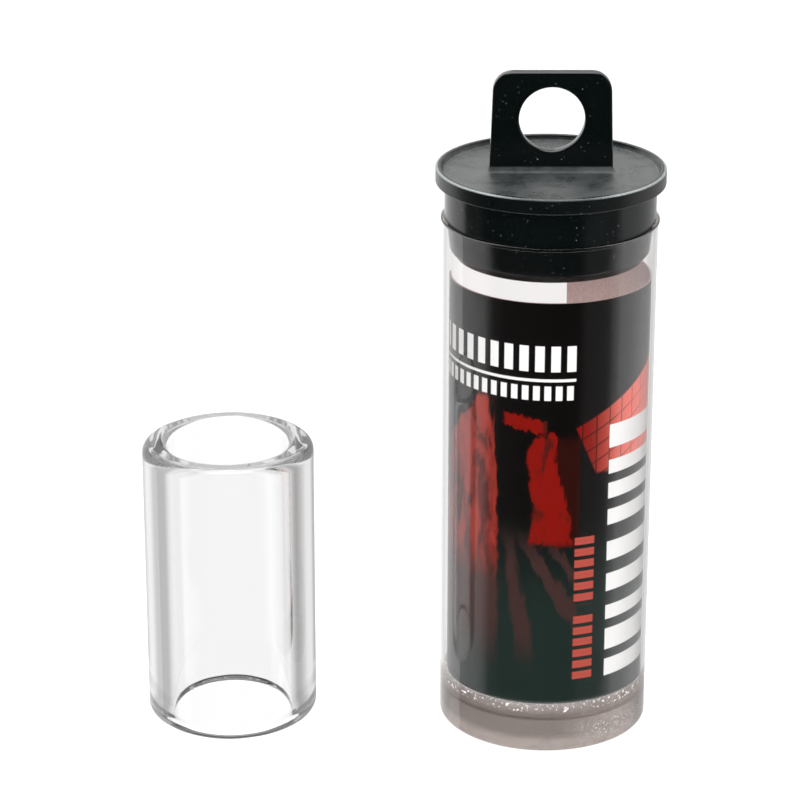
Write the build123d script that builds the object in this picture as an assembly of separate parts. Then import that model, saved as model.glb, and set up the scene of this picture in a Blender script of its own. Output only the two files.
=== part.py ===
from build123d import *

import os

# A glass guitar slide standing beside the clear tube that it is sold and kept in.
# The set has four pieces: the slide, the storage tube, the tube's stopper with its hang tab,
# and a rolled card that stands inside the tube.
#
# Row frame, in millimetres: +Z up, the front is -Y, both axes of revolution are vertical and lie
# on Y = 0, and the origin is at the bottom centre of the whole set.

# ---- driving dimensions -------------------------------------------------------------------------

# Glass slide: a heavy-walled tube with both ends fire-polished.
SLIDE_OUTER_R = 13.5
SLIDE_BORE_R = 9.5
SLIDE_LENGTH = 46.3
SLIDE_OUTER_EDGE_R = 1.8
SLIDE_BORE_EDGE_R = 1.2

# Storage tube: thin straight wall, small bead at the mouth, raised floor over a hollow foot.
TUBE_OUTER_R = 16.5
TUBE_WALL = 0.6
TUBE_HEIGHT = 83.2
TUBE_FLOOR_TOP = 7.8
TUBE_FLOOR_THICKNESS = 2.4
TUBE_FLOOR_CORNER_R = 0.4
TUBE_FOOT_WALL = 1.3
TUBE_FOOT_EDGE_R = 0.6
MOUTH_BEAD_STAND_OUT = 0.25
MOUTH_BEAD_HEIGHT = 0.5

# Stopper: a tapered nose inside the mouth, a collar that rests on the rim, a dished flange.
NOSE_CLEARANCE = 0.07
NOSE_LENGTH = 6.0
NOSE_TAPER_LENGTH = 4.6
NOSE_TAPER_IN = 0.5
NOSE_TIP_IN = 1.5
COLLAR_R = 16.2
COLLAR_HEIGHT = 5.5
FLANGE_R = 17.6
FLANGE_THICKNESS = 2.4
FLANGE_EDGE_R = 0.25
FLANGE_LIP_WIDTH = 0.8
DISH_DEPTH = 0.8
STOPPER_WALL = 1.6

# Hang tab: a flat plate on the flange, with a round hole for a display peg.
TAB_ROOT_WIDTH = 18.8
TAB_TOP_WIDTH = 17.8
TAB_ABOVE_FLANGE = 14.8
TAB_THICKNESS = 2.1
TAB_CORNER_R = 3.0
TAB_EDGE_R = 0.3
TAB_ROOT_R = 0.6
HANG_HOLE_R = 5.0
HANG_HOLE_ABOVE_FLANGE = 7.5

# Rolled card: an open roll close to the +X side of the tube's wall. Its lower edge sits on the
# small radius at the edge of the tube's floor, just above the flat of the floor.
CARD_OUTER_R = 15.55
CARD_THICKNESS = 0.3
CARD_HEIGHT = 66.4
CARD_SHIFT_X = 0.2
CARD_ABOVE_FLOOR = 0.15
CARD_START_DEG = 180.0
CARD_SWEEP_DEG = 257.0

# Layout: distance between the slide's axis and the tube's axis.
AXIS_SPACING = 50.0

# ---- worked out from the driving dimensions -----------------------------------------------------

SET_WIDTH = SLIDE_OUTER_R + AXIS_SPACING + FLANGE_R
SLIDE_X = SLIDE_OUTER_R - SET_WIDTH / 2
TUBE_X = SLIDE_X + AXIS_SPACING

TUBE_BORE_R = TUBE_OUTER_R - TUBE_WALL
TUBE_FOOT_R = TUBE_OUTER_R - TUBE_FOOT_WALL
TUBE_FLOOR_UNDERSIDE = TUBE_FLOOR_TOP - TUBE_FLOOR_THICKNESS
MOUTH_BEAD_R = TUBE_OUTER_R + MOUTH_BEAD_STAND_OUT

NOSE_R = TUBE_BORE_R - NOSE_CLEARANCE
NOSE_TAPER_R = NOSE_R - NOSE_TAPER_IN
NOSE_TIP_R = NOSE_R - NOSE_TIP_IN
NOSE_TIP_Z = TUBE_HEIGHT - NOSE_LENGTH
FLANGE_UNDERSIDE = TUBE_HEIGHT + COLLAR_HEIGHT
FLANGE_TOP = FLANGE_UNDERSIDE + FLANGE_THICKNESS
DISH_FLOOR = FLANGE_TOP - DISH_DEPTH
DISH_R = FLANGE_R - FLANGE_LIP_WIDTH
CORE_R = NOSE_TIP_R - STOPPER_WALL / 2
CORE_ROOF = DISH_FLOOR - STOPPER_WALL
TAB_TOP = FLANGE_TOP + TAB_ABOVE_FLANGE
HANG_HOLE_Z = FLANGE_TOP + HANG_HOLE_ABOVE_FLANGE


# ---- shapes -------------------------------------------------------------------------------------


def turned(outline):
    """Revolves a closed section about Z. Each outline entry is (radius, height, corner rounding)."""
    corners = [(radius, 0, height) for radius, height, _ in outline]
    roundings = [rounding for _, _, rounding in outline]
    section = make_face(FilletPolyline(*corners, radius=roundings, close=True))
    return revolve(section, Axis.Z)


def glass_slide():
    """One straight tube; both rims are rounded, more on the outside than in the bore."""
    return turned([
        (SLIDE_BORE_R, 0, SLIDE_BORE_EDGE_R),
        (SLIDE_OUTER_R, 0, SLIDE_OUTER_EDGE_R),
        (SLIDE_OUTER_R, SLIDE_LENGTH, SLIDE_OUTER_EDGE_R),
        (SLIDE_BORE_R, SLIDE_LENGTH, SLIDE_BORE_EDGE_R),
    ])


def storage_tube():
    """The clear tube, from the foot ring up the outside to the mouth and back down to the floor."""
    bead_underside = TUBE_HEIGHT - MOUTH_BEAD_HEIGHT
    return turned([
        (0, TUBE_FLOOR_UNDERSIDE, 0),
        (TUBE_FOOT_R, TUBE_FLOOR_UNDERSIDE, 0.8),
        (TUBE_FOOT_R, 0, 0.3),
        (TUBE_OUTER_R, 0, TUBE_FOOT_EDGE_R),
        (TUBE_OUTER_R, bead_underside, 0.1),
        (MOUTH_BEAD_R, bead_underside, 0.1),
        (MOUTH_BEAD_R, TUBE_HEIGHT, 0.2),
        (TUBE_BORE_R, TUBE_HEIGHT, 0.15),
        (TUBE_BORE_R, TUBE_FLOOR_TOP, TUBE_FLOOR_CORNER_R),
        (0, TUBE_FLOOR_TOP, 0),
    ])


def stopper_body():
    """The turned part of the stopper, cored out from below so that its walls are even."""
    return turned([
        (0, CORE_ROOF, 0),
        (CORE_R, CORE_ROOF, 0.8),
        (CORE_R, NOSE_TIP_Z, 0.2),
        (NOSE_TIP_R, NOSE_TIP_Z, 0.4),
        (NOSE_TAPER_R, TUBE_HEIGHT - NOSE_TAPER_LENGTH, 1.0),
        (NOSE_R, TUBE_HEIGHT, 0),
        (COLLAR_R, TUBE_HEIGHT, 0),
        (COLLAR_R, FLANGE_UNDERSIDE, 0.3),
        (FLANGE_R, FLANGE_UNDERSIDE, FLANGE_EDGE_R),
        (FLANGE_R, FLANGE_TOP, FLANGE_EDGE_R),
        (DISH_R, FLANGE_TOP, 0.2),
        (DISH_R - DISH_DEPTH / 2, DISH_FLOOR, 0.3),
        (0, DISH_FLOOR, 0),
    ])


def hang_tab():
    """The flat plate on the dish floor, a little narrower at its top, with round corners and a peg hole."""
    root_half = TAB_ROOT_WIDTH / 2
    top_half = TAB_TOP_WIDTH / 2
    corners = [(-root_half, DISH_FLOOR), (root_half, DISH_FLOOR), (top_half, TAB_TOP), (-top_half, TAB_TOP)]
    plate = make_face(Polyline(*corners, close=True))
    top_corners = plate.vertices().group_by(Axis.Y)[-1]
    outline = fillet(top_corners, TAB_CORNER_R)
    outline -= Pos(0, HANG_HOLE_Z) * Circle(HANG_HOLE_R)
    plate_solid = extrude(Plane.XZ * outline, TAB_THICKNESS / 2, both=True)
    rims = plate_solid.faces().filter_by(Axis.Y).edges()
    rims = rims.filter_by(lambda edge: edge.center().Z > DISH_FLOOR + TAB_EDGE_R)
    return chamfer(rims, TAB_EDGE_R)


def tube_cap():
    """The stopper in one piece: the turned body with its hang tab and a small fillet at the root."""
    cap = stopper_body() + hang_tab()
    root = cap.edges().filter_by(
        lambda edge: abs(edge.center().Z - DISH_FLOOR) < 0.001
        and edge.bounding_box().size.Z < 0.001
        and max(abs(edge.center().X), abs(edge.center().Y)) < TAB_ROOT_WIDTH / 2 + 0.001
        and edge.length < TAB_ROOT_WIDTH + 0.001
    )
    return fillet(root, TAB_ROOT_R)


def printed_insert():
    """The card as an open roll, standing at the tube's floor with a gap at the back."""
    inner_r = CARD_OUTER_R - CARD_THICKNESS
    outer = CenterArc((0, 0), CARD_OUTER_R, CARD_START_DEG, CARD_SWEEP_DEG)
    inner = CenterArc((0, 0), inner_r, CARD_START_DEG, CARD_SWEEP_DEG)
    ends = [Line(outer @ end, inner @ end) for end in (0, 1)]
    section = make_face([outer, inner] + ends)
    foot = TUBE_FLOOR_TOP + CARD_ABOVE_FLOOR
    return Pos(CARD_SHIFT_X, 0, foot) * extrude(section, CARD_HEIGHT)


# ---- placing and writing ------------------------------------------------------------------------

PIECES = {
    "glass_slide": Pos(SLIDE_X, 0, 0) * glass_slide(),
    "storage_tube": Pos(TUBE_X, 0, 0) * storage_tube(),
    "tube_cap": Pos(TUBE_X, 0, 0) * tube_cap(),
    "printed_insert": Pos(TUBE_X, 0, 0) * printed_insert(),
}

os.makedirs("parts", exist_ok=True)
for name, piece in PIECES.items():
    export_step(piece, f"parts/{name}.step")
    size = piece.bounding_box().size
    print(f"{name}: {size.X:.2f} x {size.Y:.2f} x {size.Z:.2f} mm, {piece.volume / 1000:.2f} cm3")
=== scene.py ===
import math

import bmesh
import bpy
import numpy as np
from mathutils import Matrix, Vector


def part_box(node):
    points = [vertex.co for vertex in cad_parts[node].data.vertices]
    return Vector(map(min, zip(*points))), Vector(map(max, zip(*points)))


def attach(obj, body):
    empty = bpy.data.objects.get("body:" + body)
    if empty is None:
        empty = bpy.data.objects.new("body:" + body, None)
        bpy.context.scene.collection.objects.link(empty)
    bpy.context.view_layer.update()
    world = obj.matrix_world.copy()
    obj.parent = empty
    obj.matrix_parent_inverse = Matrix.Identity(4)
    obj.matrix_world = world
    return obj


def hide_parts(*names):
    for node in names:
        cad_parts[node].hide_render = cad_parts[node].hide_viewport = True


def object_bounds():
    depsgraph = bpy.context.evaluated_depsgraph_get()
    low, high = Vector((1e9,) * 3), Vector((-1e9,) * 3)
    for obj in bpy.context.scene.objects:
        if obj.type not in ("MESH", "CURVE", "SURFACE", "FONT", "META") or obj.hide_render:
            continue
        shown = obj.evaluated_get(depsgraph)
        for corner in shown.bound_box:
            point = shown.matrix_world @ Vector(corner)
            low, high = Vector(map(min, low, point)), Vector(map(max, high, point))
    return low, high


# A glass guitar slide beside its clear storage tube. The tube holds a rolled printed card and is
# closed by a black stopper with a hang tab. Everything is in metres, in the frame of the CAD model.

MM = 0.001
TAU = 2 * math.pi

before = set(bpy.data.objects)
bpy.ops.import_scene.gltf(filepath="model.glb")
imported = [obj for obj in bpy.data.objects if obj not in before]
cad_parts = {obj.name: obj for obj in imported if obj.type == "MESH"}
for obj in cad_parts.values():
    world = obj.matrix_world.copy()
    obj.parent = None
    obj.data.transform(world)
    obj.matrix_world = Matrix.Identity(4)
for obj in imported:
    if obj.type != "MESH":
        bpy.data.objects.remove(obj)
cad_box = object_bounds()


# ---- sizes read from the frame ------------------------------------------------------------------

slide_low, slide_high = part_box("glass_slide")
tube_low, tube_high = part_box("storage_tube")
cap_low, cap_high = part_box("tube_cap")
card_low, card_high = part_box("printed_insert")

SLIDE_X = (slide_low.x + slide_high.x) / 2
SLIDE_R = (slide_high.x - slide_low.x) / 2
SLIDE_LENGTH = slide_high.z - slide_low.z
TUBE_X = (tube_low.x + tube_high.x) / 2
BEAD_R = (tube_high.x - tube_low.x) / 2
TUBE_HEIGHT = tube_high.z
FLANGE_R = (cap_high.x - cap_low.x) / 2
CAP_TOP = cap_high.z
NOSE_TIP_Z = cap_low.z
CARD_BOTTOM = card_low.z
CARD_TOP = card_high.z
CARD_R = (card_high.x - card_low.x) / 2
CARD_X = (card_low.x + card_high.x) / 2

# ---- sizes that the boxes don't give ------------------------------------------------------------

BORE_R = 9.5 * MM
SLIDE_OUTER_EDGE = 1.8 * MM
SLIDE_BORE_EDGE = 1.2 * MM

TUBE_R = 16.5 * MM
TUBE_BORE_R = 15.9 * MM
TUBE_FOOT_R = 15.2 * MM
FLOOR_TOP = 7.8 * MM
FLOOR_UNDERSIDE = 5.4 * MM
BEAD_HEIGHT = 0.5 * MM

NOSE_R = 15.83 * MM
NOSE_TAPER_R = NOSE_R - 0.5 * MM
NOSE_TIP_R = NOSE_R - 1.5 * MM
NOSE_TAPER_LENGTH = 4.6 * MM
COLLAR_R = 16.2 * MM
FLANGE_UNDERSIDE = TUBE_HEIGHT + 5.5 * MM
FLANGE_TOP = FLANGE_UNDERSIDE + 2.4 * MM
FLANGE_EDGE = 0.25 * MM
DISH_FLOOR = FLANGE_TOP - 0.8 * MM
DISH_R = FLANGE_R - 0.8 * MM
DISH_SLOPE = 0.4 * MM
CORE_R = NOSE_TIP_R - 0.8 * MM
CORE_ROOF = DISH_FLOOR - 1.6 * MM

TAB_ROOT_HALF = 9.4 * MM
TAB_TOP_HALF = 8.9 * MM
TAB_HALF_DEPTH = 1.05 * MM
TAB_CORNER = 3.0 * MM
TAB_EDGE = 0.3 * MM
TAB_ROOT_FILLET = 0.6 * MM
HOLE_R = 5.0 * MM
HOLE_Z = FLANGE_TOP + 7.5 * MM

CARD_THICKNESS = 0.3 * MM
CARD_START = math.radians(180)
CARD_SWEEP = math.radians(257)

# ---- mesh helpers -------------------------------------------------------------------------------

# A rounding has a point at least every ARC_STEP, and one more point, SUPPORT away, past each of its ends.
ARC_STEP = math.radians(7.5)
FEWEST_ARC_STEPS = 3
SUPPORT = 0.12 * MM
LONGEST_RUN = 2.0 * MM
ON_AXIS = 0.0001 * MM
SMOOTH_BELOW = math.radians(35)


def rounded(outline, closed=True, arc_step=ARC_STEP):
    """Points of a section whose corners are arcs. Each outline entry is (radius, height, rounding)."""
    points = []
    count = len(outline)
    for i, (radius, height, rounding) in enumerate(outline):
        here = Vector((radius, height))
        if rounding <= 0 or (not closed and i in (0, count - 1)):
            points.append(here)
            continue
        before = Vector(outline[i - 1][:2]) - here
        after = Vector(outline[(i + 1) % count][:2]) - here
        half = before.angle(after) / 2
        reach = rounding / math.tan(half)
        start = here + before.normalized() * reach
        end = here + after.normalized() * reach
        middle = here + (before.normalized() + after.normalized()).normalized() * rounding / math.sin(half)
        turn = (start - middle).angle(end - middle)
        steps = max(FEWEST_ARC_STEPS, round(turn / arc_step))
        points.append(start + before.normalized() * min(SUPPORT, (before.length - reach) / 3))
        for step in range(steps + 1):
            share = step / steps
            weight_a = math.sin((1 - share) * turn) / math.sin(turn)
            weight_b = math.sin(share * turn) / math.sin(turn)
            points.append(middle + (start - middle) * weight_a + (end - middle) * weight_b)
        points.append(end + after.normalized() * min(SUPPORT, (after.length - reach) / 3))
    return points


def divided(points, longest, closed=True):
    """The same line with extra points on every run that is longer than longest."""
    out = []
    count = len(points)
    for i, here in enumerate(points):
        out.append(here)
        if i == count - 1 and not closed:
            break
        there = points[(i + 1) % count]
        parts = math.ceil((there - here).length / longest)
        out.extend(here.lerp(there, k / parts) for k in range(1, parts))
    return out


def lathe(name, section, centre_x, segments, shift=None):
    """A closed surface of revolution. shift(angle, radius, height) gives a small (out, up) change."""
    mesh = bpy.data.meshes.new(name)
    build = bmesh.new()
    rings = []
    for point in section:
        on_axis = point.x < ON_AXIS
        ring = []
        for k in range(1 if on_axis else segments):
            angle = TAU * k / segments
            out, up = shift(angle, point.x, point.y) if shift and not on_axis else (0, 0)
            radius = point.x + out
            place = (centre_x + radius * math.cos(angle), radius * math.sin(angle), point.y + up)
            ring.append(build.verts.new(place))
        rings.append(ring)
    closed = len(rings[0]) > 1
    for i in range(len(rings) if closed else len(rings) - 1):
        low, high = rings[i], rings[(i + 1) % len(rings)]
        for k in range(segments):
            corners = [low[k % len(low)], low[(k + 1) % len(low)],
                       high[(k + 1) % len(high)], high[k % len(high)]]
            unique = list(dict.fromkeys(corners))
            if len(unique) > 2:
                build.faces.new(unique)
    bmesh.ops.recalc_face_normals(build, faces=build.faces)
    build.to_mesh(mesh)
    build.free()
    return place_mesh(name, mesh)


def place_mesh(name, mesh):
    """Links a mesh as an object, with smooth shading where faces meet at less than SMOOTH_BELOW."""
    obj = bpy.data.objects.new(name, mesh)
    bpy.context.scene.collection.objects.link(obj)
    mesh.polygons.foreach_set("use_smooth", [True] * len(mesh.polygons))
    mesh.set_sharp_from_angle(angle=SMOOTH_BELOW)
    return obj


def finish_piece(obj, body, node):
    """Puts a piece on its body, in place of its CAD node."""
    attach(obj, body)
    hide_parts(node)
    return obj


# ---- shader helpers -----------------------------------------------------------------------------


# A colour mix node's sockets: its two colours and its result.
MIX_A = 6
MIX_B = 7
MIX_RESULT = 2


class Paint:
    """Adds nodes to a material or a world by short calls. Sockets and numbers can be mixed freely."""

    def __init__(self, owner):
        owner.use_nodes = True
        self.owner = owner
        self.nodes = owner.node_tree.nodes
        self.links = owner.node_tree.links
        self.surface = self.nodes.get("Principled BSDF")

    def node(self, kind, inputs=None, **settings):
        made = self.nodes.new(kind)
        for key, value in settings.items():
            setattr(made, key, value)
        for key, value in (inputs or {}).items():
            self.put(made.inputs[key], value)
        return made

    def put(self, socket, value):
        if isinstance(value, bpy.types.NodeSocket):
            self.links.new(value, socket)
        else:
            socket.default_value = value

    def set(self, **values):
        """Sets the surface's sockets; underscores stand for spaces."""
        for key, value in values.items():
            self.put(self.surface.inputs[key.replace("_", " ")], value)

    def math(self, operation, a, b=0.0):
        return self.node("ShaderNodeMath", {0: a, 1: b}, operation=operation).outputs[0]

    def chain(self, operation, values):
        total = values[0]
        for value in values[1:]:
            total = self.math(operation, total, value)
        return total

    def add(self, *values):
        return self.chain("ADD", values)

    def minus(self, value, taken):
        return self.math("SUBTRACT", value, taken)

    def times(self, *values):
        return self.chain("MULTIPLY", values)

    def either(self, *values):
        return self.chain("MAXIMUM", values)

    def below(self, value, limit):
        """1 where value is less than limit, and 0 elsewhere."""
        return self.math("LESS_THAN", value, limit)

    def magnitude(self, value):
        return self.math("ABSOLUTE", value)

    def zigzag(self, value, top):
        """Runs up from 0 to top and down again, over and over."""
        return self.math("PINGPONG", value, top)

    def distance(self, x, y):
        return self.math("SQRT", self.add(self.times(x, x), self.times(y, y)))

    def ramp(self, value, low, high, to_low=0.0, to_high=1.0):
        """Goes smoothly from to_low, where value is low or less, to to_high, where it is high or more."""
        inputs = {"Value": value, "From Min": low, "From Max": high, "To Min": to_low, "To Max": to_high}
        return self.node("ShaderNodeMapRange", inputs, interpolation_type="SMOOTHSTEP").outputs["Result"]

    def mix(self, factor, a, b):
        """Colour a where the factor is 0, and colour b where it is 1."""
        made = self.node("ShaderNodeMix", data_type="RGBA")
        self.put(made.inputs["Factor"], factor)
        self.put(made.inputs[MIX_A], a)
        self.put(made.inputs[MIX_B], b)
        return made.outputs[MIX_RESULT]

    def noise(self, vector, scale, detail=2.0, roughness=0.5, distortion=0.0):
        inputs = {"Vector": vector, "Scale": scale, "Detail": detail, "Roughness": roughness,
                  "Distortion": distortion}
        return self.node("ShaderNodeTexNoise", inputs).outputs["Fac"]

    def place(self):
        """The point in the row frame at rest, in millimetres."""
        point = self.node("ShaderNodeTexCoord").outputs["Object"]
        scaled = self.node("ShaderNodeVectorMath", {0: point, "Scale": 1 / MM}, operation="SCALE")
        return scaled.outputs[0]

    def stretched(self, vector, scale):
        return self.node("ShaderNodeVectorMath", {0: vector, 1: scale}, operation="MULTIPLY").outputs[0]

    def split(self, vector):
        return self.node("ShaderNodeSeparateXYZ", {0: vector}).outputs[:3]

    def between(self, value, low, high, soft=0.08):
        """1 where value lies from low to high, with an edge that is soft wide."""
        rising = self.ramp(value, low - soft, low + soft)
        falling = self.ramp(value, high - soft, high + soft, 1.0, 0.0)
        return self.times(rising, falling)

    def bump(self, height, depth):
        """Makes the surface look as if height, from 0 to 1, stood depth proud."""
        inputs = {"Height": height, "Distance": depth, "Strength": 1.0}
        self.put(self.surface.inputs["Normal"], self.node("ShaderNodeBump", inputs).outputs[0])


def grey(value):
    return (value, value, value, 1.0)


# ---- glass slide --------------------------------------------------------------------------------

SLIDE_SEGMENTS = 512
GLASS_ARC_STEP = math.radians(3.5)
GLASS_LONGEST_RUN = 1.5 * MM
FIRE_POLISH_REACH = 3.5 * MM
RIM_DROOP = 0.05 * MM
RIM_SLOW_WAVE = 0.10 * MM
RIM_QUICK_WAVE = 0.03 * MM
BORE_OVALITY = 0.035 * MM


def fire_polish(angle, radius, height):
    """Both rims were melted round, so they are a little uneven; the wall is drawn and nearly true."""
    from_end = min(height, SLIDE_LENGTH - height)
    rim = max(0.0, 1 - from_end / FIRE_POLISH_REACH) ** 2
    at_top = height > SLIDE_LENGTH / 2
    phase = 0.0 if at_top else 2.1

    # two sets of waves round the rim, which differ between the two ends
    slow = 0.6 * math.sin(3 * angle + 0.7 + phase) + 0.4 * math.sin(5 * angle + 2.9 - phase)
    quick = 0.5 * math.sin(11 * angle + 1.3 + phase) + 0.3 * math.sin(17 * angle + 4.0)

    inner = 1 - (radius - BORE_R) / (SLIDE_R - BORE_R)
    out = -rim * inner * (RIM_SLOW_WAVE * slow + RIM_QUICK_WAVE * quick)
    drawn = inner * BORE_OVALITY * math.sin(2 * angle + 0.9)
    inwards = rim * (RIM_DROOP + RIM_SLOW_WAVE / 2 * slow + RIM_QUICK_WAVE / 2 * quick)
    return out + drawn, -inwards if at_top else inwards


def make_slide():
    section = rounded([
        (BORE_R, 0, SLIDE_BORE_EDGE),
        (SLIDE_R, 0, SLIDE_OUTER_EDGE),
        (SLIDE_R, SLIDE_LENGTH, SLIDE_OUTER_EDGE),
        (BORE_R, SLIDE_LENGTH, SLIDE_BORE_EDGE),
    ], arc_step=GLASS_ARC_STEP)
    slide = lathe("slide_glass", divided(section, GLASS_LONGEST_RUN), SLIDE_X, SLIDE_SEGMENTS, fire_polish)
    slide.data.materials.append(glass_material())
    slide.visible_shadow = False
    return finish_piece(slide, "slide", "glass_slide")


def glass_material():
    """Colourless drawn glass: a trace of streaks along its length and a few faint finger smudges."""
    paint = Paint(bpy.data.materials.new("clear_glass"))
    place = paint.place()
    streaks = paint.noise(paint.stretched(place, (1.0, 1.0, 0.03)), 0.5, detail=2.0)
    smudge = paint.noise(place, 0.16, detail=3.0)
    paint.set(Base_Color=(0.99, 0.99, 0.99, 1), Transmission_Weight=1.0, IOR=1.5)
    paint.set(Roughness=paint.ramp(smudge, 0.6, 0.8, 0.0, 0.03))
    paint.bump(streaks, 0.003 * MM)
    return paint.owner


# ---- storage tube -------------------------------------------------------------------------------

TUBE_SEGMENTS = 256

WALL_TINT = (0.975, 0.965, 0.962, 1)
HAZE_DARK = (0.33, 0.285, 0.265, 1)
HAZE_LIGHT = (0.40, 0.35, 0.33, 1)
# the darker colour of the painted shade at the foot's mid-height
FOOT_SHADE = (0.205, 0.175, 0.162, 1)
# the white of the painted glints in the foot
GLINT_WHITE = (0.95, 0.93, 0.92, 1)


def make_tube():
    bead_underside = TUBE_HEIGHT - BEAD_HEIGHT
    section = rounded([
        (0, FLOOR_UNDERSIDE, 0),
        (TUBE_FOOT_R, FLOOR_UNDERSIDE, 0.8 * MM),
        (TUBE_FOOT_R, 0, 0.3 * MM),
        (TUBE_R, 0, 0.6 * MM),
        (TUBE_R, bead_underside, 0.1 * MM),
        (BEAD_R, bead_underside, 0.1 * MM),
        (BEAD_R, TUBE_HEIGHT, 0.2 * MM),
        (TUBE_BORE_R, TUBE_HEIGHT, 0.15 * MM),
        (TUBE_BORE_R, FLOOR_TOP, 0.4 * MM),
        (0, FLOOR_TOP, 0),
    ], closed=False)
    tube = lathe("tube_clear", divided(section, LONGEST_RUN, closed=False), TUBE_X, TUBE_SEGMENTS)
    tube.data.materials.append(clear_plastic_material())
    tube.visible_shadow = False
    return finish_piece(tube, "tube", "storage_tube")


def clear_plastic_material():
    """Clear moulded plastic: nearly colourless in the thin wall, grey-mauve and hazy in the thick foot,
    with painted shade and painted glints in the foot.
    """
    paint = Paint(bpy.data.materials.new("clear_plastic"))
    place = paint.place()
    x, _, height = paint.split(place)
    sideways = paint.minus(x, TUBE_X / MM)
    over_floor = paint.minus(height, FLOOR_TOP / MM)

    # the foot is cloudy; painted shade makes it darker at its mid-height, less so towards the right
    foot = paint.ramp(over_floor, -0.6, 1.0, 1.0, 0.0)
    haze = paint.noise(place, 0.45, detail=4.0, roughness=0.6)
    foot_colour = paint.mix(paint.ramp(haze, 0.35, 0.7), HAZE_DARK, HAZE_LIGHT)
    painted_foot_shade = paint.times(paint.ramp(height, 1.4, 3.0), paint.ramp(over_floor, -1.6, -0.6, 1.0, 0.0),
                        paint.ramp(sideways, 1.0, 10.0, 0.9, 0.25))
    foot_colour = paint.mix(painted_foot_shade, foot_colour, FOOT_SHADE)

    # painted glints: white specks in the floor under the card, and specks low on its right side
    glint_specks = paint.ramp(paint.noise(place, 1.5, detail=4.0, roughness=0.7), 0.56, 0.61)
    glints_under_card = paint.times(glint_specks, paint.between(over_floor, -1.0, 0.3, 0.3))
    # corner holds the painted glints low on the right side
    corner = paint.times(paint.ramp(paint.noise(place, 2.8, detail=2.0), 0.6, 0.66),
                         paint.ramp(sideways, 1.0, 9.0), paint.between(height, 1.2, 4.6, 1.0))
    painted_glints = paint.either(glints_under_card, paint.times(corner, 0.6))
    foot_colour = paint.mix(painted_glints, foot_colour, GLINT_WHITE)
    paint.set(Base_Color=paint.mix(foot, WALL_TINT, foot_colour))
    diffuse_share = paint.either(paint.times(foot, 0.22), paint.times(painted_glints, 0.7))
    paint.set(Transmission_Weight=paint.minus(1.0, diffuse_share), IOR=1.53)

    # fine upright scratches on the wall, and a duller foot
    scratches = paint.noise(paint.stretched(place, (1.0, 1.0, 0.15)), 1.7, detail=5.0, roughness=0.7)
    wear = paint.ramp(scratches, 0.64, 0.72, 0.0, 0.12)
    rough_foot = paint.times(foot, paint.ramp(haze, 0.4, 0.7, 0.05, 0.12))
    paint.set(Roughness=paint.either(wear, rough_foot))
    paint.bump(paint.times(foot, haze), 0.02 * MM)
    return paint.owner


# ---- stopper ------------------------------------------------------------------------------------

CAP_SEGMENTS = 256
TAB_FOOT_POINTS = 10
TAB_SIDE_POINTS = 14
TAB_TOP_POINTS = 7
TAB_CORNER_STEPS = 14
TAB_EDGE_STEPS = 3
TAB_ROOT_STEPS = 8
TAB_ROOT_CORNER_STEPS = 4
WELD = 0.001 * MM

# A face whose normal is this near to the Y or Z axis belongs to a flat side, and is shaded flat.
FLAT = 0.9999

BLACK = (0.0012, 0.0022, 0.0022, 1)
# dust, wear and the painted highlight on the flange's edge share this grey
DUST_AND_SHEEN_GREY = (0.33, 0.36, 0.36, 1)


def make_cap():
    """The stopper's turned body, its hang tab and the fillet at the tab's root, in one mesh."""
    section = rounded([
        (0, CORE_ROOF, 0),
        (CORE_R, CORE_ROOF, 0.8 * MM),
        (CORE_R, NOSE_TIP_Z, 0.2 * MM),
        (NOSE_TIP_R, NOSE_TIP_Z, 0.4 * MM),
        (NOSE_TAPER_R, TUBE_HEIGHT - NOSE_TAPER_LENGTH, 1.0 * MM),
        (NOSE_R, TUBE_HEIGHT, 0),
        (COLLAR_R, TUBE_HEIGHT, 0),
        (COLLAR_R, FLANGE_UNDERSIDE, 0.3 * MM),
        (FLANGE_R, FLANGE_UNDERSIDE, FLANGE_EDGE),
        (FLANGE_R, FLANGE_TOP, FLANGE_EDGE),
        (DISH_R, FLANGE_TOP, 0.2 * MM),
        (DISH_R - DISH_SLOPE, DISH_FLOOR, 0.3 * MM),
        (0, DISH_FLOOR, 0),
    ], closed=False)
    body = lathe("stopper", divided(section, LONGEST_RUN, closed=False), TUBE_X, CAP_SEGMENTS)
    stopper = place_mesh("stopper_black", joined(body, [make_tab(), make_tab_root()]))
    for face in stopper.data.polygons:
        face.use_smooth = max(abs(face.normal.y), abs(face.normal.z)) < FLAT
    stopper.data.materials.clear()
    stopper.data.materials.append(black_plastic_material())
    return finish_piece(stopper, "cap", "tube_cap")


def joined(body, others):
    """One mesh that is the union of closed objects, which are then removed."""
    for other in others:
        union = body.modifiers.new(other.name, "BOOLEAN")
        union.operation = "UNION"
        union.solver = "MANIFOLD"
        union.object = other
    bpy.context.view_layer.update()
    evaluated = body.evaluated_get(bpy.context.evaluated_depsgraph_get())
    mesh = bpy.data.meshes.new_from_object(evaluated)
    for used in [body] + others:
        bpy.data.objects.remove(used)
    build = bmesh.new()
    build.from_mesh(mesh)
    bmesh.ops.remove_doubles(build, verts=build.verts, dist=WELD)
    build.to_mesh(mesh)
    build.free()
    return mesh


def tab_half_width(height):
    """The tab narrows evenly from its root to its top."""
    share = (height - DISH_FLOOR) / (CAP_TOP - DISH_FLOOR)
    return TAB_ROOT_HALF + (TAB_TOP_HALF - TAB_ROOT_HALF) * share


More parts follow.
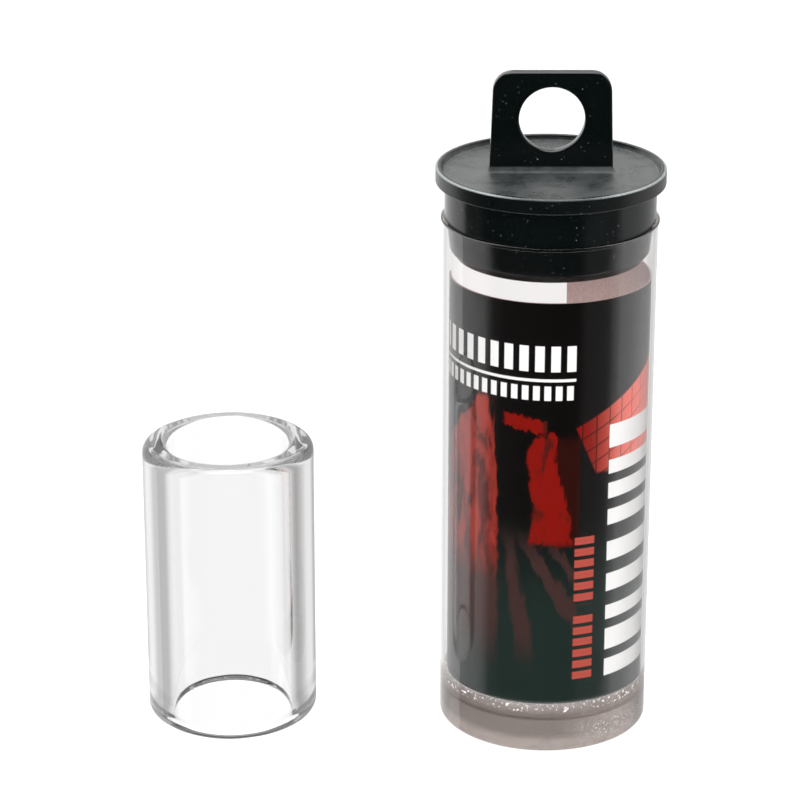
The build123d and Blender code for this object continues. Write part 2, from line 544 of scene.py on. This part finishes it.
def tab_outline():
    """The tab's front outline as (x, z) points: foot, up the right side, top, down the left side."""
    foot_z = DISH_FLOOR - TAB_EDGE
    corner_z = CAP_TOP - TAB_CORNER
    middle_x = tab_half_width(corner_z) - TAB_CORNER
    along_foot = np.linspace(0, tab_half_width(foot_z), TAB_FOOT_POINTS)[1:-1]
    up_side = np.linspace(foot_z, corner_z, TAB_SIDE_POINTS)[:-1]
    along_top = np.linspace(middle_x, 0, TAB_TOP_POINTS)[1:-1]
    right = [Vector((x, foot_z)) for x in along_foot]
    right += [Vector((tab_half_width(z), z)) for z in up_side]
    for step in range(TAB_CORNER_STEPS + 1):
        angle = math.pi / 2 * step / TAB_CORNER_STEPS
        spoke = Vector((math.cos(angle), math.sin(angle))) * TAB_CORNER
        right.append(Vector((middle_x, corner_z)) + spoke)
    right += [Vector((x, CAP_TOP)) for x in along_top]
    left = [Vector((-point.x, point.y)) for point in reversed(right)]
    return right + [Vector((0, CAP_TOP))] + left + [Vector((0, foot_z))]


def make_tab():
    """The plate with its peg hole and softened edges; its foot is sunk into the dish."""
    outline = tab_outline()
    hole = Vector((0, HOLE_Z))
    rays = [(point - hole).normalized() for point in outline]
    outward = []
    for i in range(len(outline)):
        along = outline[(i + 1) % len(outline)] - outline[i - 1]
        outward.append(Vector((along.y, -along.x)).normalized())
    rising = [math.pi / 2 * step / TAB_EDGE_STEPS for step in range(TAB_EDGE_STEPS + 1)]
    falling = rising[::-1]
    edges = ((False, -1, falling), (False, 1, rising), (True, 1, falling), (True, -1, rising))
    rings = []
    for in_hole, side, angles in edges:
        for angle in angles:
            inset = TAB_EDGE * (1 - math.cos(angle))
            depth = side * (TAB_HALF_DEPTH - TAB_EDGE * (1 - math.sin(angle)))
            if in_hole:
                line = [hole + ray * (HOLE_R + inset) for ray in rays]
            else:
                line = [point - out * inset for point, out in zip(outline, outward)]
            rings.append([(TUBE_X + point.x, depth, point.y) for point in line])
    return skin("tab", rings + rings[:1])


def make_tab_root():
    """The flare at the tab's root: level sections that follow a quarter circle into the dish floor."""
    sunk = 0.02 * MM
    rings = []
    for step in range(TAB_ROOT_STEPS + 1):
        angle = math.pi / 2 * step / TAB_ROOT_STEPS
        grow = TAB_ROOT_FILLET * (1 - math.sin(angle)) - sunk
        height = DISH_FLOOR + TAB_ROOT_FILLET * (1 - math.cos(angle)) - sunk
        half_x = tab_half_width(height) + grow
        rings.append(level_section(half_x, TAB_HALF_DEPTH + grow, grow + 2 * sunk, height))
    return skin("tab_root", rings)


def skin(name, rings):
    """A closed surface through rings of points, capped at its ends unless the last ring is the first."""
    mesh = bpy.data.meshes.new(name)
    build = bmesh.new()
    is_loop = rings[0] is rings[-1]
    loops = [[build.verts.new(point) for point in ring] for ring in (rings[:-1] if is_loop else rings)]
    if is_loop:
        loops.append(loops[0])
    else:
        build.faces.new(loops[0])
        build.faces.new(loops[-1])
    for low, high in zip(loops, loops[1:]):
        for i in range(len(low)):
            build.faces.new((low[i - 1], low[i], high[i], high[i - 1]))
    bmesh.ops.recalc_face_normals(build, faces=build.faces)
    build.to_mesh(mesh)
    build.free()
    return place_mesh(name, mesh)


def level_section(half_x, half_y, corner, height):
    """A rectangle with round corners at one height, round the tab's middle."""
    points = []
    for quarter, (side_x, side_y) in enumerate(((1, 1), (-1, 1), (-1, -1), (1, -1))):
        for step in range(TAB_ROOT_CORNER_STEPS + 1):
            angle = math.pi / 2 * (quarter + step / TAB_ROOT_CORNER_STEPS)
            x = side_x * (half_x - corner) + corner * math.cos(angle)
            y = side_y * (half_y - corner) + corner * math.sin(angle)
            points.append((TUBE_X + x, y, height))
    return points


def black_plastic_material():
    """Soft black plastic: semi-matt, a fine moulded grain on the dish, a few light scuffs and specks, and
    wear with a painted highlight on the flange's upper edge.
    """
    paint = Paint(bpy.data.materials.new("black_plastic"))
    place = paint.place()
    x, y, height = paint.split(place)
    sideways = paint.minus(x, TUBE_X / MM)
    radius = paint.distance(sideways, y)
    above = paint.minus(height, FLANGE_TOP / MM)
    cloud = paint.noise(place, 0.35, detail=4.0)
    grain = paint.noise(place, 6.0, detail=3.0, roughness=0.6)

    # three places: the dish, the flange's side, and the flange's upper edge, which is rubbed and carries a
    # painted highlight that fades at the front middle
    in_dish = paint.times(paint.ramp(above, -1.2, -0.9), paint.ramp(above, -0.1, 0.3, 1.0, 0.0),
                          paint.ramp(radius, DISH_R / MM - 0.4, DISH_R / MM, 1.0, 0.0))
    on_side = paint.ramp(radius, FLANGE_R / MM - 0.1, FLANGE_R / MM - 0.03)
    worn_sheen_edge = paint.times(paint.ramp(radius, FLANGE_R / MM - 0.5, FLANGE_R / MM - 0.25),
                         paint.ramp(above, -0.3, -0.08), paint.ramp(grain, 0.3, 0.6, 0.3, 1.0),
                         paint.ramp(paint.magnitude(sideways), 4.0, 10.0, 0.2, 1.0))

    # dust: specks all over, scuffs and a dull cloud in the dish; on the upper edge, wear and a painted
    # highlight
    specks = paint.ramp(paint.noise(place, 3.1, detail=1.0), 0.765, 0.79)
    scuffs = paint.ramp(paint.noise(place, 1.4, detail=5.0, roughness=0.7, distortion=1.5), 0.62, 0.72)
    dust_and_sheen = paint.either(paint.times(specks, 0.4),
                        paint.times(scuffs, paint.ramp(in_dish, 0.0, 1.0, 0.004, 0.3)),
                        paint.times(in_dish, paint.ramp(cloud, 0.3, 0.7, 0.08, 0.18)),
                        paint.times(worn_sheen_edge, 0.9))
    colour = paint.mix(dust_and_sheen, BLACK, DUST_AND_SHEEN_GREY)

    semi_matt = paint.ramp(cloud, 0.3, 0.7, 0.10, 0.17)
    roughness = paint.add(semi_matt, paint.times(in_dish, 0.16), paint.times(on_side, 0.16))
    paint.set(Base_Color=colour, Roughness=roughness, IOR=1.5)
    texture = paint.times(grain, paint.ramp(in_dish, 0.0, 1.0, 0.12, 1.0))
    paint.bump(paint.add(texture, paint.times(cloud, 0.5)), 0.06 * MM)
    return paint.owner


# ---- rolled card --------------------------------------------------------------------------------

CARD_COLUMNS = 220
CARD_ROWS = 60
PRINTED = 0
BARE = 1


def make_card():
    """A thin closed sheet, rolled; material 0 is the printed face and material 1 is the rest."""
    mesh = bpy.data.meshes.new("printed_card")
    build = bmesh.new()
    outer, inner = card_grid(build, CARD_R), card_grid(build, CARD_R - CARD_THICKNESS)

    def patch(corners, material):
        build.faces.new(corners).material_index = material

    for row in range(CARD_ROWS):
        for column in range(CARD_COLUMNS):
            for grid, material in ((outer, PRINTED), (inner, BARE)):
                patch((grid[row][column], grid[row][column + 1],
                       grid[row + 1][column + 1], grid[row + 1][column]), material)
    for row in (0, CARD_ROWS):
        for column in range(CARD_COLUMNS):
            patch((outer[row][column], outer[row][column + 1],
                   inner[row][column + 1], inner[row][column]), BARE)
    for column in (0, CARD_COLUMNS):
        for row in range(CARD_ROWS):
            patch((outer[row][column], outer[row + 1][column],
                   inner[row + 1][column], inner[row][column]), BARE)
    bmesh.ops.recalc_face_normals(build, faces=build.faces)
    build.to_mesh(mesh)
    build.free()
    card = place_mesh("card_printed", mesh)
    card.data.materials.append(print_material())
    card.data.materials.append(bare_card_material())
    card.visible_shadow = False
    return finish_piece(card, "card", "printed_insert")


def card_grid(build, radius):
    """Rows of new points on a rolled sheet of one radius, from the card's lower edge to its upper one."""
    grid = []
    for row in range(CARD_ROWS + 1):
        height = CARD_BOTTOM + (CARD_TOP - CARD_BOTTOM) * row / CARD_ROWS
        line = []
        for column in range(CARD_COLUMNS + 1):
            angle = CARD_START + CARD_SWEEP * column / CARD_COLUMNS
            place = (CARD_X + radius * math.cos(angle), radius * math.sin(angle), height)
            line.append(build.verts.new(place))
        grid.append(line)
    return grid


GROUND_TOP = (0.0016, 0.0010, 0.0009, 1)
GROUND_LOW = (0.0100, 0.0190, 0.0160, 1)
DEEP_RED = (0.060, 0.006, 0.004, 1)
FULL_RED = (0.190, 0.004, 0.0015, 1)
SHADOW_RED = (0.020, 0.002, 0.001, 1)
WARM_RED = (0.310, 0.032, 0.021, 1)
# the pale red of the painted glare on the wedge's right part
GLARE_RED = (0.90, 0.17, 0.12, 1)
DIM_BROWN = (0.050, 0.022, 0.020, 1)
DASH_RED = (0.420, 0.070, 0.050, 1)
PAPER_WHITE = (0.86, 0.86, 0.85, 1)
STOCK_DARK = (0.42, 0.30, 0.285, 1)
STOCK_LIGHT = (0.52, 0.39, 0.37, 1)
SCRATCH_WHITE = (0.85, 0.80, 0.78, 1)

# Places on the print, in millimetres: across from the middle of its front, and up from its lower edge.
UPPER_BARS = {"across": (-21.5, 3.4), "up": (55.5, 59.6)}
THIN_LINE = {"across": (-22.0, 3.4), "up": (53.9, 54.35)}
LOWER_BARS = {"across": (-22.0, 3.1), "up": (50.9, 53.2)}
BLOCKS_ACROSS = (9.2, 20.5)
BLOCKS_UP = ((3.7, 6.6), (8.2, 11.8), (13.4, 15.8), (18.2, 21.2), (23.4, 26.6), (29.4, 32.0),
             (33.8, 36.4), (37.9, 40.2), (42.2, 46.0))
DASHES_ACROSS = (3.7, 6.9)
DASHES_UP = ((3.6, 15.4), (16.8, 28.3))
DASH_PITCH = 1.9
DASH_GAP = 0.64
POST_PITCH = 2.3
RAIL_PITCH = 2.5


def print_material():
    """The printed face: abstract red shapes on black, plain white bars and blocks, and red dashes; painted
    glare lightens the wedge's right part.
    """
    paint = Paint(bpy.data.materials.new("card_print"))
    place = paint.place()
    x, y, z = paint.split(place)
    angle = paint.math("ARCTAN2", paint.minus(x, CARD_X / MM), paint.times(y, -1.0))
    across = paint.times(angle, CARD_R / MM)
    up = paint.minus(z, CARD_BOTTOM / MM)
    tall_place = paint.stretched(place, (1.0, 1.0, 0.35))
    brush = paint.noise(tall_place, 0.32, detail=5.0, roughness=0.65, distortion=0.8)
    fine = paint.noise(place, 1.6, detail=4.0, roughness=0.6)
    wander = paint.ramp(brush, 0.3, 0.7, -0.7, 0.7)
    loose_across = paint.add(across, wander)
    loose_up = paint.add(up, paint.ramp(fine, 0.3, 0.7, -0.4, 0.4))

    colour = paint.mix(paint.ramp(up, 14.0, 34.0), GROUND_LOW, GROUND_TOP)
    colour = paint.mix(paint.times(dim_diagonals(paint, loose_across, up), 0.8), colour, DIM_BROWN)
    left_red = paint.mix(paint.ramp(brush, 0.36, 0.58), DEEP_RED, WARM_RED)
    left_colour = paint.mix(paint.ramp(up, 19.0, 27.0), DIM_BROWN, left_red)
    colour = paint.mix(left_column(paint, loose_across, loose_up), colour, left_colour)
    shadow = paint.times(paint.between(across, 0.0, 4.3, 0.4), paint.between(up, 27.0, 44.5, 1.0))
    colour = paint.mix(shadow, colour, SHADOW_RED)
    centre_red = paint.mix(paint.ramp(brush, 0.36, 0.5), DEEP_RED, FULL_RED)
    colour = paint.mix(centre_column(paint, loose_across, loose_up), colour, centre_red)
    # the wedge goes from red to a pale red towards the right: painted glare
    colour = paint.mix(rising_wedge(paint, across, up), colour,
                       paint.mix(paint.ramp(across, 5.0, 15.0), FULL_RED, GLARE_RED))
    colour = paint.mix(dashes(paint, across, up), colour, DASH_RED)
    colour = paint.mix(white_marks(paint, across, up), colour, PAPER_WHITE)

    paint.set(Base_Color=colour, Roughness=paint.ramp(fine, 0.3, 0.7, 0.3, 0.42))
    paint.bump(fine, 0.02 * MM)
    return paint.owner


# Each shape below is 1 inside and 0 outside. Its numbers are millimetres across and up the print.


def left_column(paint, across, up):
    """A tall shape that narrows to a leaning point at its top and fades out at its foot."""
    climb = paint.either(0.0, paint.minus(up, 39.0))
    left = paint.minus(across, paint.times(climb, 0.86))
    right = paint.add(across, paint.times(climb, 0.12))
    sides = paint.times(paint.ramp(left, -22.0, -21.2), paint.ramp(right, -8.8, -8.2, 1.0, 0.0))
    return paint.times(sides, paint.ramp(up, 3.0, 16.0), paint.ramp(up, 49.8, 51.2, 1.0, 0.0))


def centre_column(paint, across, up):
    """An upright block with a round top that widens downwards, and a tilted bar at its upper left."""
    out = paint.add(across, 0.4)
    dome = paint.add(up, paint.times(out, out, 0.35))
    widening = paint.add(across, paint.times(paint.either(0.0, paint.minus(41.0, up)), -0.2))
    trunk = paint.times(paint.ramp(across, -3.5, -2.9), paint.ramp(widening, 0.6, 1.2, 1.0, 0.0),
                        paint.ramp(up, 26.4, 28.0), paint.ramp(dome, 45.2, 46.0, 1.0, 0.0))
    tilt = paint.add(up, paint.times(across, 0.2))
    bar = paint.times(paint.between(tilt, 45.1, 47.2, 0.2), paint.between(across, -7.5, -1.4, 0.2))
    return paint.either(trunk, bar)


def rising_wedge(paint, across, up):
    """A band that widens to the right, with a dark lattice across it."""
    upper = paint.minus(up, paint.add(44.6, paint.times(across, 0.49)))
    falling = paint.add(54.5, paint.times(across, -2.3))
    lower = paint.minus(up, paint.either(falling, 38.6))
    band = paint.times(paint.ramp(upper, -0.15, 0.15, 1.0, 0.0), paint.ramp(lower, -0.4, 0.4),
                       paint.between(across, 2.2, 40.0, 0.3))
    posts = paint.between(paint.zigzag(across, POST_PITCH / 2), 0.0, 0.11, 0.06)
    rails = paint.between(paint.zigzag(upper, RAIL_PITCH / 2), 0.0, 0.12, 0.06)
    lattice = paint.times(paint.either(posts, rails), paint.ramp(across, 8.0, 20.0, 0.85, 0.25))
    return paint.times(band, paint.minus(1.0, lattice))


def dim_diagonals(paint, across, up):
    """Faint beams that fan down from the red shapes."""
    steep = paint.add(across, paint.times(up, 0.58))
    flat = paint.add(across, paint.times(up, 0.15))
    beams = paint.either(paint.between(steep, 10.9, 13.4, 0.3), paint.between(steep, 15.2, 16.6, 0.4),
                         paint.between(flat, -3.5, -1.5, 0.5))
    return paint.times(beams, paint.between(up, 9.0, 27.0, 4.0), paint.ramp(across, 3.2, 4.2, 1.0, 0.0))


def dashes(paint, across, up):
    """Short dashes one above the other, with a gap at mid-height, in place of small print."""
    rung = paint.between(paint.zigzag(up, DASH_PITCH / 2), DASH_GAP / 2, DASH_PITCH / 2, 0.06)
    spans = paint.either(*[paint.between(up, low, high, 0.1) for low, high in DASHES_UP])
    return paint.times(rung, spans, paint.between(across, *DASHES_ACROSS, 0.1))


def white_marks(paint, across, up):
    """Plain bars at the top left and a column of plain blocks at the right, in place of lettering."""
    wide_gaps = paint.ramp(paint.zigzag(paint.add(across, 0.9), 1.2), 0.42, 0.58)
    fine_gaps = paint.ramp(paint.zigzag(across, 0.85), 0.27, 0.43)
    marks = []
    for area, gaps in ((UPPER_BARS, wide_gaps), (THIN_LINE, 1.0), (LOWER_BARS, fine_gaps)):
        inside = paint.times(paint.between(across, *area["across"]), paint.between(up, *area["up"]))
        marks.append(paint.times(inside, gaps))
    for low, high in BLOCKS_UP:
        marks.append(paint.times(paint.between(across, *BLOCKS_ACROSS), paint.between(up, low, high)))
    return paint.either(*marks)


def bare_card_material():
    """The card's inner face and cut edges: dull mauve-grey stock with fibres and a few pale scratches."""
    paint = Paint(bpy.data.materials.new("card_bare"))
    place = paint.place()
    fibre = paint.noise(place, 2.2, detail=5.0, roughness=0.7)
    scratch_place = paint.stretched(place, (1.0, 1.0, 0.3))
    scratches = paint.ramp(paint.noise(scratch_place, 0.9, detail=3.0, distortion=2.0), 0.69, 0.71)
    stock = paint.mix(paint.ramp(fibre, 0.3, 0.7), STOCK_DARK, STOCK_LIGHT)
    paint.set(Base_Color=paint.mix(paint.times(scratches, 0.6), stock, SCRATCH_WHITE))
    paint.set(Roughness=paint.ramp(fibre, 0.3, 0.7, 0.45, 0.65))
    paint.bump(fibre, 0.04 * MM)
    return paint.owner


# ---- stage, light and camera --------------------------------------------------------------------

FLOOR_R = 3.0
FLOOR_SEGMENTS = 96

# The lens shows the set at 6.4 pixels to the millimetre in a picture that is 800 pixels wide.
PICTURE_WIDTH = 800
PIXELS_PER_MM = 6.4
SENSOR_WIDTH = 36.0
CAMERA_DISTANCE = 0.5
CAMERA_ELEVATION = math.radians(21)

KEY_PLACE = (0.05, -0.6, 0.5)
KEY_SIZE = 0.6
KEY_POWER = 7.5
FILL_PLACE = (-0.12, -0.6, 0.10)
FILL_SIZE = 0.25
FILL_POWER = 2.5

# Between these two angles from the Y axis, in degrees, the studio's white field greys slightly.
BACKDROP_EDGE = 22.0
BACKDROP_GREY_EDGE = 50.0
OVERHEAD_POWER = 3.2


def make_stage():
    """A plain pale floor. Glass and gloss see the studio's own light instead, as on a light table."""
    mesh = bpy.data.meshes.new("floor")
    build = bmesh.new()
    bmesh.ops.create_circle(build, cap_ends=True, segments=FLOOR_SEGMENTS, radius=FLOOR_R)
    build.to_mesh(mesh)
    build.free()
    floor = bpy.data.objects.new("floor", mesh)
    bpy.context.scene.collection.objects.link(floor)
    floor.visible_transmission = False
    floor.visible_glossy = False
    paint = Paint(bpy.data.materials.new("floor"))
    paint.set(Base_Color=grey(0.9), Roughness=0.9, Specular_IOR_Level=0.0)
    floor.data.materials.append(paint.owner)


def make_world():
    """A white studio. What only passed through glass sees a bright field; the rest sees soft boxes."""
    world = bpy.data.worlds.new("studio")
    bpy.context.scene.world = world
    paint = Paint(world)

    # a direction's turn from the studio's back, in degrees, is 0 behind the set and 180 at its front
    x, y, z = paint.split(paint.node("ShaderNodeTexCoord").outputs["Generated"])
    turn = paint.times(paint.math("ARCTAN2", x, y), 360 / TAU)
    aside = paint.magnitude(turn)
    on_left = paint.ramp(x, -0.01, 0.01, 1.0, 0.0)

    strip = paint.ramp(paint.magnitude(x), 0.3, 0.45, 1.0, 0.0)
    overhead = paint.times(paint.ramp(z, 0.45, 0.6), strip, paint.ramp(y, -0.45, -0.2), OVERHEAD_POWER)

    # straight through the glass: a bright field
    folded = paint.zigzag(aside, 90.0)
    band = paint.between(folded, BACKDROP_EDGE, BACKDROP_GREY_EDGE, 3.0)
    field = paint.ramp(band, 0.0, 1.0, 1.09, 1.0)
    through = paint.either(paint.times(field, paint.ramp(z, 0.0, 0.15, 1.0, 0.03)), overhead)

    # turned once inside the glass, as in the slide's wall: the field greys towards the sides
    left_wall = paint.add(paint.ramp(aside, 4.0, 27.0, 0.84, 0.50),
                          paint.ramp(aside, 56.0, 72.0, 0.0, 0.32))
    right_wall = paint.add(paint.ramp(aside, 4.0, 44.0, 0.84, 0.38),
                           paint.ramp(aside, 46.0, 66.0, 0.0, 0.35))
    bent = paint.times(paint.mix(on_left, right_wall, left_wall),
                       paint.ramp(aside, 100.0, 115.0, 1.0, 0.05), paint.ramp(z, 0.35, 0.5, 1.0, 0.02))

    # turned more often, as in the melted rims: high contrast, dark at the sides and above
    ahead = paint.times(paint.ramp(aside, 60.0, 75.0, 1.0, 0.02), paint.ramp(z, 0.15, 0.35, 1.0, 0.06))
    behind = paint.times(paint.ramp(aside, 148.0, 160.0, 0.0, 0.8), paint.ramp(z, 0.0, 0.2, 1.0, 0.05))
    deep = paint.either(ahead, behind, paint.ramp(z, -0.9, -0.75, 1.0, 0.0))

    # what shines on the outside: the backdrop, soft boxes at both sides, dark on the camera's side
    left_box = paint.times(on_left, 1.1, paint.ramp(aside, 70.0, 72.5, 1.0, 0.12),
                           paint.ramp(aside, 92.0, 106.0, 1.0, 0.1))
    right_box = paint.times(paint.minus(1.0, on_left), 0.68, paint.ramp(aside, 97.0, 105.0, 1.0, 0.25),
                            paint.ramp(aside, 138.0, 152.0, 1.0, 0.04))
    boxes = paint.times(paint.add(left_box, right_box), paint.ramp(z, 0.55, 0.7, 1.0, 0.02))
    shine = paint.either(boxes, overhead, paint.ramp(z, -0.75, -0.6, 1.0, 0.0))

    # turns is 1 for light that goes straight through, and 1 more for each time it is mirrored inside;
    # each look holds from the first whole number of turns above the limit beside it
    light_path = paint.node("ShaderNodeLightPath").outputs
    turns = paint.minus(light_path["Ray Depth"], light_path["Transmission Depth"])
    softened = paint.mix(0.4, deep, grey(0.42))
    inside = through
    for limit, look in ((1.5, bent), (2.5, deep), (4.5, softened), (8.5, grey(0.5))):
        inside = paint.mix(paint.below(turns, limit), look, inside)
    straight = paint.below(light_path["Diffuse Depth"], 0.5)
    seen = paint.mix(paint.times(light_path["Is Transmission Ray"], straight), shine, inside)
    background = paint.mix(light_path["Is Camera Ray"], seen, grey(1.0))
    paint.put(paint.nodes["Background"].inputs["Color"], background)


def make_soft_light(name, place, size, power):
    """A soft area light aimed at the set. It lights card and plastic but isn't mirrored in the gloss."""
    data = bpy.data.lights.new(name, "AREA")
    data.size = size
    data.energy = power
    light = bpy.data.objects.new(name, data)
    light.location = place
    aim = cad_box[0].lerp(cad_box[1], 0.5) - Vector(place)
    light.rotation_euler = aim.to_track_quat("-Z", "Y").to_euler()
    light.visible_glossy = False
    light.visible_transmission = False
    bpy.context.scene.collection.objects.link(light)


def make_camera():
    low, high = cad_box
    middle = (low + high) / 2
    data = bpy.data.cameras.new("camera")
    data.sensor_width = SENSOR_WIDTH
    data.lens = PIXELS_PER_MM / MM * CAMERA_DISTANCE * SENSOR_WIDTH / PICTURE_WIDTH
    camera = bpy.data.objects.new("camera", data)
    back = Vector((0, -math.cos(CAMERA_ELEVATION), math.sin(CAMERA_ELEVATION)))
    camera.location = middle + back * CAMERA_DISTANCE
    camera.rotation_euler = (-back).to_track_quat("-Z", "Y").to_euler()
    bpy.context.scene.collection.objects.link(camera)
    bpy.context.scene.camera = camera


# ---- the scene ----------------------------------------------------------------------------------

make_camera()
make_stage()
make_world()
make_soft_light("key", KEY_PLACE, KEY_SIZE, KEY_POWER)
make_soft_light("fill", FILL_PLACE, FILL_SIZE, FILL_POWER)
make_slide()
make_tube()
make_cap()
make_card()

bpy.context.scene.view_settings.view_transform = "Standard"
# thick glass needs many bounces before light leaves it
bpy.context.scene.cycles.max_bounces = 32
bpy.context.scene.cycles.glossy_bounces = 24
bpy.context.scene.cycles.transmission_bounces = 32
